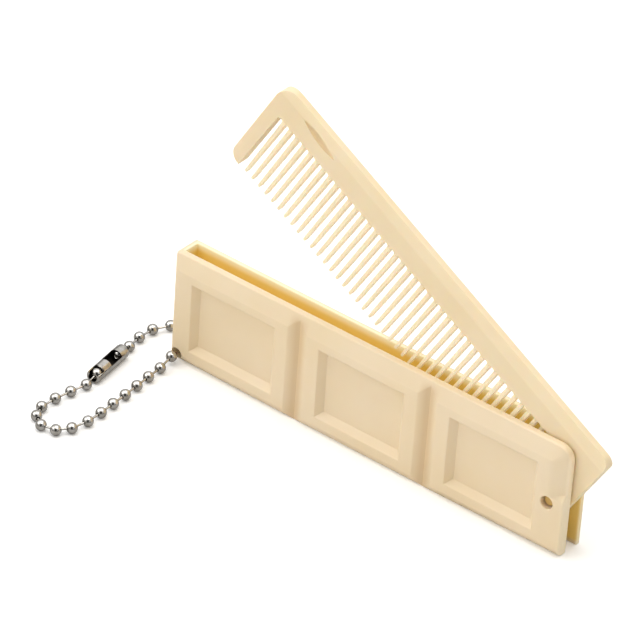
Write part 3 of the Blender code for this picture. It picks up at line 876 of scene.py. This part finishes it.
    def mark_edges(self, bm: BMesh) -> None:
        """Marks the moulded edges' rounding: full at the open end, less along the case, least at the panels."""
        bmesh.ops.recalc_face_normals(bm, faces=bm.faces)
        weight = rounding_layer(bm)
        rims = [centre + side * self.groove_half for centre in self.groove_centres for side in (-1, 1)]
        for edge in creases(bm):
            low, high = (vertex.co for vertex in edge.verts)
            place = (low + high) / 2
            at_foot = max(low.z, high.z) < self.base_slope_head + GRIP and max(low.y, high.y) < self.edge - GRIP
            if at_foot and not near(low.y, high.y):
                continue
            at_panel = (
                near(low.y, self.front) and near(high.y, self.front)
                and self.panel_low - GRIP < place.z < self.panel_high + GRIP
                and self.end_slope_start + GRIP < place.x < self.wedge_start - GRIP
                and not any(near(place.x, rim) for rim in rims)
            )
            at_open_end = place.x > self.wedge_start - GRIP and place.y < -self.slot_half
            edge[weight] = self.panel_share if at_panel else 1.0 if at_open_end else self.edge_share


@dataclass
class CombBlade:
    """The comb: a flat back, tapered teeth, a guard at the tip and a nail nick.

    Its sizes are along the comb from the pivot, negative towards the tip, and across it towards the back.
    """

    look: Material
    pivot: tuple[float, float, float] = (46.5 * MM, 0.0, 11.85 * MM)
    lift: tuple[float, float, float] = (0.2 * MM, 0.0, 0.45 * MM)
    open_deg: float = 30.4
    tip: float = -95.0 * MM
    butt: float = 3.4 * MM
    points: float = -9.4 * MM
    spine: float = 16.3 * MM
    half: float = 1.5 * MM
    first_gap: float = -91.287 * MM
    gap_pitch: float = 2.026 * MM
    gaps: int = 42
    root: float = 8.727 * MM
    root_half: float = 0.573 * MM
    mouth_half: float = 0.698 * MM
    root_steps: int = 6
    point_round: float = 0.2 * MM
    root_share: float = 0.8
    point_share: float = 0.4333
    bevel_start: float = 14.1 * MM
    spine_share: float = 0.5333
    guard_radius: float = 2.712 * MM
    guard_rise: float = 0.7 * MM
    tip_radius: float = 3.5 * MM
    butt_radius: float = 2.2 * MM
    corner_steps: int = 8
    edge_radius: float = 0.1 * MM
    edge_steps: int = 2
    least_edge: float = 0.002 * MM
    pivot_bore: float = 1.45 * MM
    bore_flare: float = 0.1 * MM
    nick_place: tuple[float, float] = (-82.4 * MM, 13.7 * MM)
    nick_length: float = 9.8 * MM
    nick_width: float = 1.7 * MM
    nick_depth: float = 1.0 * MM
    nick_narrowing: float = 0.45
    nick_tilt_deg: float = 6.0
    nick_faces: tuple[int, int] = (32, 24)
    sharp_deg: float = 50.0

    def build(self) -> None:
        """Builds the comb and seats it in place of its solid."""
        bm = bmesh.new()
        self.cut_plate(bm)
        self.cut_gaps(bm)
        self.thicken(bm)
        self.round_edges(bm)
        bmesh.ops.transform(bm, matrix=self.place(), verts=bm.verts)
        piece = add_piece("comb_moulding", bm, self.look)
        drill(piece, self.cutters(), self.sharp_deg)
        seat(piece, Body.COMB, Slot.COMB, "comb")

    def place(self) -> Matrix:
        """Returns the turn and place that open the comb on its pivot."""
        lift = Matrix.Translation(Vector(self.pivot) + Vector(self.lift))
        return lift @ Matrix.Rotation(math.radians(self.open_deg), 4, "Y")

    def gap_middles(self) -> list[float]:
        """Returns the middle of each gap along the comb."""
        return [self.first_gap + index * self.gap_pitch for index in range(self.gaps)]

    def cut_plate(self, bm: BMesh) -> None:
        """Lays one face in the comb's outline, before the gaps, in the plane y = -half."""
        bmesh.ops.create_grid(bm, x_segments=1, y_segments=1, size=0.5)
        turn(bm, 90, "X")
        bmesh.ops.scale(bm, verts=bm.verts, vec=(self.butt - self.tip, 1, self.spine - self.points))
        middle = ((self.butt + self.tip) / 2, -self.half, (self.spine + self.points) / 2)
        bmesh.ops.translate(bm, verts=bm.verts, vec=middle)
        corners = (
            (self.tip, self.points, self.guard_radius), (self.tip, self.spine, self.tip_radius),
            (self.butt, self.points, self.butt_radius), (self.butt, self.spine, self.butt_radius),
        )
        for along, across, radius in corners:
            corner = verts_at(bm, lambda at: near(at.x, along) and near(at.z, across))
            soften(bm, corner, radius, self.corner_steps, "VERTICES")

    def cut_gaps(self, bm: BMesh) -> None:
        """Cuts the gaps between the teeth, each with tapered sides and a round root."""
        middles = self.gap_middles()
        slice_at(bm, bm.faces, Z, self.root)
        sides = [(middle + side * self.root_half, side) for middle in middles for side in (-1, 1)]
        for start, _ in sides:
            slice_at(bm, faces_at(bm.faces, lambda at: at.z < self.root), X, start)
        low = faces_at(bm.faces, lambda at: at.z < self.root)
        gone = faces_at(low, lambda at: any(abs(at.x - middle) < self.root_half / 2 for middle in middles))
        bmesh.ops.delete(bm, geom=gone, context="FACES")
        teeth = faces_at(bm.faces, lambda at: at.z < self.root and middles[0] < at.x < middles[-1])
        slice_at(bm, teeth, Z, self.points + self.point_round)
        for start, side in sides:
            for vertex in verts_at(bm, lambda at: near(at.x, start) and at.z < self.root - GRIP):
                out = self.mouth_half - self.root_half
                if vertex.co.z < self.points + GRIP:
                    out += self.point_round / 2
                bmesh.ops.translate(bm, verts=[vertex], vec=(side * out, 0, 0))
        guard = verts_at(bm, lambda at: at.x < middles[0] and at.z < self.points + self.guard_radius + GRIP)
        bmesh.ops.translate(bm, verts=guard, vec=(0, 0, self.guard_rise))
        self.round_roots(bm, middles)

    def round_roots(self, bm: BMesh, middles: Sequence[float]) -> None:
        """Bows the straight end of each gap into a half circle."""
        ends = wholly([edge for edge in bm.edges if edge.is_boundary], lambda at: near(at.z, self.root))
        bmesh.ops.subdivide_edges(bm, edges=ends, cuts=self.root_steps - 1)
        for vertex in verts_at(bm, lambda at: near(at.z, self.root)):
            middle = min(middles, key=lambda place: abs(place - vertex.co.x))
            offset = vertex.co.x - middle
            if vertex.is_boundary and abs(offset) < self.root_half - GRIP:
                angle = math.pi / 2 * offset / self.root_half
                shift = (self.root_half * math.sin(angle) - offset, 0, self.root_half * math.cos(angle))
                bmesh.ops.translate(bm, verts=[vertex], vec=shift)

    def thicken(self, bm: BMesh) -> None:
        """Gives the comb its thickness, thinner at the points of the teeth and along the back."""
        apex = self.root + self.root_half
        slice_at(bm, bm.faces, Z, apex)
        slice_at(bm, bm.faces, Z, self.bevel_start)
        grow(bm, bm.faces, (0, 2 * self.half, 0))
        bmesh.ops.recalc_face_normals(bm, faces=bm.faces)
        first, last = self.gap_middles()[0], self.gap_middles()[-1]
        for vertex in bm.verts:
            along, _, across = vertex.co
            share = 1.0
            if across > self.bevel_start:
                share += (self.spine_share - 1) * (across - self.bevel_start) / (self.spine - self.bevel_start)
            elif first < along < last and across < self.root:
                taper = (self.root - across) / (self.root - self.points)
                share = self.root_share + (self.point_share - self.root_share) * taper
            elif first < along < last and across < apex:
                share = 1 - (1 - self.root_share) * (apex - across) / self.root_half
            vertex.co.y *= share

    def round_edges(self, bm: BMesh) -> None:
        """Rounds the moulded edges a little, but not the steps of the gaps' roots."""
        edges = [edge for edge in creases(bm) if abs(edge.verts[0].co.y - edge.verts[1].co.y) < self.half / 2]
        soften(bm, edges, self.edge_radius, self.edge_steps)
        for vertex in bm.verts:
            vertex.co.y = max(-self.half, min(self.half, vertex.co.y))
        bmesh.ops.dissolve_degenerate(bm, edges=bm.edges, dist=self.least_edge)

    def cutters(self) -> list[BMesh]:
        """Returns the shapes that the pivot bore and the nail nick on each face are cut with."""
        x, _, z = self.pivot
        bore = bore_cutter(x, z, self.pivot_bore, -self.half, self.half, self.bore_flare)
        leaf = bmesh.new()
        around, rings = self.nick_faces
        bmesh.ops.create_uvsphere(leaf, u_segments=around, v_segments=rings, radius=1)
        turn(leaf, 90, "Y")
        for vertex in leaf.verts:
            vertex.co.yz *= 1 - self.nick_narrowing * vertex.co.x**2
        along, across = self.nick_place
        nicks = [leaf, leaf.copy()]
        for side, nick in zip((-1, 1), nicks):
            on_face = (
                Matrix.Translation((along, side * self.half, across))
                @ Matrix.Rotation(math.radians(self.nick_tilt_deg), 4, "Y")
                @ Matrix.Diagonal((self.nick_length / 2, self.nick_depth, self.nick_width / 2, 1))
            )
            bmesh.ops.transform(nick, matrix=self.place() @ on_face, verts=nick.verts)
        return [bore, *nicks]


def ball_centre(node: str, rounds: int = 4, outer_share: float = 0.93) -> Vector:
    """Finds the centre of a packed ball, whose sockets cut its box unevenly.

    Args:
        node: The ball's name.
        rounds: How often the centre is found again.
        outer_share: Corners this far out, as a share of the furthest, lie on the sphere.

    Returns:
        The centre of the sphere through its outer corners.
    """
    points = np.array([vertex.co[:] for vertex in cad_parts[node].data.vertices])
    centre = (points.max(axis=0) + points.min(axis=0)) / 2
    for _ in range(rounds):
        reach = np.linalg.norm(points - centre, axis=1)
        outer = points[reach > reach.max() * outer_share]
        rows = np.hstack([2 * outer, np.ones((len(outer), 1))])
        centre = np.linalg.lstsq(rows, (outer**2).sum(axis=1), rcond=None)[0][:3]
    return Vector(centre)


@dataclass
class BallChain:
    """The chain: hollow balls that each hold the next by a short wire."""

    look: Material
    ball_count: int = 27
    held_pair: tuple[int, int] = (17, 18)
    ball_radius: float = 1.2 * MM
    mouth_radius: float = 0.5 * MM
    mouth_rim: float = 0.5 / 12 * MM
    socket_depth: float = 0.35 * MM
    wire_radius: float = 0.3 * MM
    wire_waist: float = 0.24 * MM
    wire_end: float = 0.75 * MM
    wire_around: int = 16
    wire_cuts: int = 5
    around: int = 32
    rings: int = 16
    centres: list[Vector] = field(default_factory=list)

    def build(self) -> None:
        """Builds every ball and wire in its solid's place."""
        self.centres = [ball_centre(f"chain_ball_{index + 1:02d}") for index in range(self.ball_count)]
        followers = self.centres[1:] + self.centres[:1]
        for index, centre in enumerate(self.centres):
            neighbours = (self.centres[index - 1], followers[index])
            self.build_ball(index + 1, centre, [(other - centre).normalized() for other in neighbours])
        pairs = list(zip(self.centres, followers))
        del pairs[self.held_pair[0] - 1]
        for number, (start, end) in enumerate(pairs, 1):
            self.build_wire(number, start, end)

    def build_ball(self, number: int, centre: Vector, ways: Iterable[Vector]) -> None:
        """Builds one ball with a rimmed mouth towards each neighbour.

        Args:
            number: The ball's number in the chain.
            centre: Its centre.
            ways: Unit directions to its neighbours.
        """
        bm = bmesh.new()
        bmesh.ops.create_uvsphere(bm, u_segments=self.around, v_segments=self.rings, radius=self.ball_radius)
        mouth = math.sqrt(self.ball_radius**2 - self.mouth_radius**2)
        for way in ways:
            lid = cut_off(bm, way * mouth, way, grip=0)
            for depth in (self.mouth_rim, self.socket_depth):
                bmesh.ops.inset_region(bm, faces=lid, thickness=self.mouth_rim, depth=-depth)
        bmesh.ops.translate(bm, verts=bm.verts, vec=centre)
        node = f"chain_ball_{number:02d}"
        seat(add_piece(f"{node}_plated", bm, self.look), Body.CHAIN, Slot.CHAIN, node)

    def build_wire(self, number: int, start: Vector, end: Vector) -> None:
        """Builds one wire, drawn in at its middle.

        Args:
            number: The wire's number in the chain.
            start: The centre of the ball at one end.
            end: The centre of the ball at the other.
        """
        way = end - start
        length = way.length - 2 * self.wire_end
        ends = {"radius1": self.wire_radius, "radius2": self.wire_radius}
        bm = bmesh.new()
        bmesh.ops.create_cone(bm, cap_ends=True, segments=self.wire_around, depth=length, **ends)
        sides = [edge for edge in bm.edges if abs(edge.verts[0].co.z - edge.verts[1].co.z) > length / 2]
        bmesh.ops.subdivide_edges(bm, edges=sides, cuts=self.wire_cuts, use_grid_fill=True)
        for vertex in bm.verts:
            share = abs(vertex.co.z) / (length / 2)
            radius = self.wire_waist + (self.wire_radius - self.wire_waist) * share**2
            vertex.co.xy *= radius / vertex.co.xy.length if vertex.co.xy.length else 1
        along = Vector(Z).rotation_difference(way).to_matrix().to_4x4()
        bmesh.ops.transform(bm, matrix=Matrix.Translation((start + end) / 2) @ along, verts=bm.verts)
        node = f"chain_link_{number:02d}"
        seat(add_piece(f"{node}_wire", bm, self.look), Body.CHAIN, Slot.CHAIN, node)


@dataclass
class Connector:
    """The rolled sheet sleeve that holds the chain's two end balls."""

    look: Material
    inside_shade_look: Material
    low: Vector
    high: Vector
    length: float = 12.0 * MM
    radius: float = 1.6 * MM
    lip_radius: float = 1.0 * MM
    lip_bend: tuple[tuple[float, float], ...] = ((0.0, 1.0), (0.06, 0.55), (0.35, 0.15), (1.0, 0.0))
    sheet: float = 0.2 * MM
    window: tuple[float, float] = (-1.0 * MM, 3.1 * MM)
    notch_length: float = 2.4 * MM
    tilt_deg: float = -6.0
    around: int = 36
    window_faces: int = 13
    notch_faces: int = 11

    def stations(self) -> list[tuple[float, float]]:
        """Returns the sleeve's rings as places along it and radii."""
        half = self.length / 2
        bend = self.radius - self.lip_radius
        end = [(half - bend * back, self.radius - bend * inward) for back, inward in self.lip_bend]
        start = [(-place, radius) for place, radius in end]
        middle = [(place, self.radius) for place in (self.notch_length - half, *self.window)]
        return start + middle + end[::-1]

    def opening(self, place: float) -> int:
        """Returns how many faces are open at a place along the sleeve."""
        if self.window[0] < place < self.window[1]:
            return self.window_faces
        return self.notch_faces if place < self.notch_length - self.length / 2 else 0

    def build(self) -> None:
        """Builds the sleeve and seats it in place of its solid."""
        bm = bmesh.new()
        self.roll_sheet(bm)
        step = 2 * math.pi / self.around
        gone = []
        for face in bm.faces:
            middle = face.calc_center_median()
            if abs(math.atan2(middle.y, middle.x)) < self.opening(middle.z) / 2 * step:
                gone.append(face)
        bmesh.ops.delete(bm, geom=gone, context="FACES")
        bmesh.ops.recalc_face_normals(bm, faces=bm.faces)
        bmesh.ops.solidify(bm, geom=list(bm.faces), thickness=self.sheet)
        bmesh.ops.recalc_face_normals(bm, faces=bm.faces)
        # Faces that look inwards take the second material, a near-black painted shade.
        for face in bm.faces:
            middle = face.calc_center_median()
            face.material_index = int(middle.x * face.normal.x + middle.y * face.normal.y < 0)
        bmesh.ops.transform(bm, matrix=self.place(), verts=bm.verts)
        piece = add_piece("chain_connector_sleeve", bm, self.look)
        piece.data.materials.append(self.inside_shade_look)
        seat(piece, Body.CONNECTOR, Slot.CHAIN, "chain_connector")

    def roll_sheet(self, bm: BMesh) -> None:
        """Grows a closed tube ring by ring along z."""
        rings = self.stations()
        bmesh.ops.create_circle(bm, cap_ends=False, segments=self.around, radius=1)
        turn(bm, 180 / self.around, "Z")
        bmesh.ops.scale(bm, verts=bm.verts, vec=(rings[0][1], rings[0][1], 1))
        bmesh.ops.translate(bm, verts=bm.verts, vec=(0, 0, rings[0][0]))
        edges = list(bm.edges)
        for (place, radius), (before, last) in zip(rings[1:], rings):
            grown = bmesh.ops.extrude_edge_only(bm, edges=edges)["geom"]
            ring = [item for item in grown if isinstance(item, BMVert)]
            edges = [item for item in grown if isinstance(item, BMEdge) and all(end in ring for end in item.verts)]
            bmesh.ops.translate(bm, verts=ring, vec=(0, 0, place - before))
            bmesh.ops.scale(bm, verts=ring, vec=(radius / last, radius / last, 1))

    def place(self) -> Matrix:
        """Returns the turn and place that lay the sleeve along its two balls, openings up and a little tilted."""
        along = (self.high - self.low).normalized()
        side = along.cross(Vector(Z))
        tilt = math.radians(self.tilt_deg)
        up = Vector(Z) * math.cos(tilt) - side * math.sin(tilt)
        lying = Matrix((up, along.cross(up), along)).transposed().to_4x4()
        return Matrix.Translation((self.low + self.high) / 2) @ lying


@dataclass
class Studio:
    """The camera, the pale floor and the soft light."""

    camera_place: Vector = field(default_factory=lambda: Vector((489.1, -680.5, 598.6)) * MM)
    camera_aim: Vector = field(default_factory=lambda: Vector((-13.69, -1.85, 25.09)) * MM)
    camera_roll_deg: float = 4.31
    sensor_mm: float = 36.0
    lens_mm: float = 287.06
    floor_size: float = 4.0
    floor_white: float = 0.95
    floor_mirrored: float = 0.45
    floor_lift: float = 0.16
    floor_roughness: float = 0.9
    floor_gloss: float = 0.1
    sky: float = 0.58
    sky_slant: float = 0.38
    warm_side: Colour = (1.0, 0.93, 0.8)
    mirrored_low: Colour = (0.04, 0.035, 0.03)
    mirrored_rise: Ramp = (0.0, 0.55)
    mirrored_sky: float = 0.95
    mirrored_shade: float = 0.06
    shade_outer_deg: float = 34.0
    shade_inner_deg: float = 16.0

    def build(self) -> None:
        """Builds the camera, floor and lights."""
        self.build_camera()
        self.build_floor()
        self.build_sky()
        self.build_lamp("key_lamp", Vector((-0.9, -0.75, 1.2)), size=1.2, power=8.0)
        self.build_lamp("top_lamp", Vector((0.15, 0.15, 1.5)), size=1.4, power=14.0)

    def build_camera(self) -> None:
        """Puts the camera at the photograph's angle."""
        data = bpy.data.cameras.new("camera")
        data.sensor_width = self.sensor_mm
        data.lens = self.lens_mm
        camera = bpy.data.objects.new("camera", data)
        bpy.context.collection.objects.link(camera)
        back = (self.camera_place - self.camera_aim).normalized()
        right = Vector(Z).cross(back).normalized()
        level = Matrix((right, back.cross(right), back)).transposed()
        roll = Matrix.Rotation(math.radians(self.camera_roll_deg), 3, "Z")
        camera.matrix_world = Matrix.Translation(self.camera_place) @ (level @ roll).to_4x4()
        bpy.context.scene.camera = camera

    def build_floor(self) -> None:
        """Lays the plain pale floor, seen in reflections as a darker grey, a painted reflection that darkens the
        metal's undersides; it also glows a little for the camera alone, which lightens the shadows on it.
        """
        bm = bmesh.new()
        bmesh.ops.create_grid(bm, x_segments=1, y_segments=1, size=self.floor_size / 2)
        look, shader = principled("pale_floor")
        tree = look.node_tree
        ray = add_node(tree, "LightPath").outputs
        seen, mirrored = (self.floor_white,) * 3, (self.floor_mirrored,) * 3
        fill(tree, shader, {
            "Base Color": mixed(tree, ray["Is Glossy Ray"], seen, mirrored),
            "Emission Strength": calculated(tree, "MULTIPLY", ray["Is Camera Ray"], self.floor_lift),
            "Roughness": self.floor_roughness,
            "Specular IOR Level": self.floor_gloss,
        })
        floor = add_piece("floor", bm, look)

    def build_sky(self) -> None:
        """Surrounds the scene with soft white, darker in what the metal mirrors low down and towards the camera."""
        world = bpy.data.worlds.new("soft_white")
        bpy.context.scene.world = world
        world.use_nodes = True
        tree = world.node_tree
        way = add_node(tree, "TexCoord").outputs["Generated"]
        x, _, z = add_node(tree, "SeparateXYZ", {"Vector": way}).outputs
        left_to_right = (-1.0, 1.0)
        slant = (self.sky + self.sky_slant, self.sky - self.sky_slant)
        shown = tree.nodes["Background"]
        fill(tree, shown, {
            "Color": mixed(tree, ramped(tree, x, left_to_right, kind="LINEAR"), WHITE, self.warm_side),
            "Strength": ramped(tree, x, left_to_right, slant, "LINEAR"),
        })
        towards = projected(tree, way, (self.camera_place - self.camera_aim).normalized())
        cone = (math.cos(math.radians(self.shade_outer_deg)), math.cos(math.radians(self.shade_inner_deg)))
        mirrored = add_node(tree, "Background", {
            "Color": mixed(tree, ramped(tree, z, self.mirrored_rise, kind="LINEAR"), self.mirrored_low, WHITE),
            "Strength": ramped(tree, towards, cone, (self.mirrored_sky, self.mirrored_shade)),
        })
        plain = add_node(tree, "Background", {"Color": WHITE})
        ray = add_node(tree, "LightPath").outputs
        for kind, other in (("Is Glossy Ray", mirrored), ("Is Camera Ray", plain)):
            shown = add_node(tree, "MixShader", {"Fac": ray[kind], 1: shown.outputs[0], 2: other.outputs[0]})
        fill(tree, tree.nodes["World Output"], {"Surface": shown.outputs[0]})

    def build_lamp(self, name: str, place: Vector, size: float, power: float) -> None:
        """Hangs one soft square lamp that faces the object.

        Args:
            name: The lamp's name.
            place: Where it hangs.
            size: The length of its sides.
            power: Its power in watts.
        """
        data = bpy.data.lights.new(name, "AREA")
        data.size = size
        data.energy = power
        lamp = bpy.data.objects.new(name, data)
        bpy.context.collection.objects.link(lamp)
        facing = (self.camera_aim - place).to_track_quat("-Z", "Y").to_matrix().to_4x4()
        lamp.matrix_world = Matrix.Translation(place) @ facing


def dress_pin(look: Material) -> None:
    """Gives the pivot pin's solid its plastic."""
    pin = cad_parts["pivot_pin"]
    for slot in pin.material_slots:
        slot.material = look


def main() -> None:
    """Builds the studio, the case, the comb and the chain in order."""
    logging.basicConfig(level=logging.INFO, format="%(name)s: %(message)s")
    bpy.context.scene.view_settings.view_transform = "Standard"
    Studio().build()
    skin = moulded_skin_group()
    plating = handled_plating_group()
    case_plastic = MouldedPlastic("ivory_case", (0.86, 0.71, 0.50), (0.84, 0.68, 0.45))
    comb_plastic = MouldedPlastic(
        "ivory_comb", (0.88, 0.73, 0.5), (0.86, 0.7, 0.45), glow_weight=0.35, glow_depth=1.2 * MM
    )
    pin_plastic = MouldedPlastic("ochre_pin", (0.66, 0.44, 0.13), (0.6, 0.39, 0.11))
    CaseShell(case_plastic.make(skin, case_masks=CaseMasks().build())).build()
    CombBlade(comb_plastic.make(skin, comb_mask=CombMask().build())).build()
    dress_pin(pin_plastic.make(skin))
    metal = PlatedSteel("bright_plating").make(plating)
    chain = BallChain(metal)
    chain.build()
    held = sorted((chain.centres[number - 1] for number in chain.held_pair), key=lambda centre: centre.y)
    # Near-black painted shade for the sleeve's inside, made with the steel's nodes.
    sleeve_shade = PlatedSteel(
        "painted_inside_shade", (0.04, 0.035, 0.03), (0.03, 0.025, 0.02), roughness=0.5, dull_roughness=0.6
    )
    Connector(metal, sleeve_shade.make(plating), *held).build()


if __name__ == "__main__":
    main()
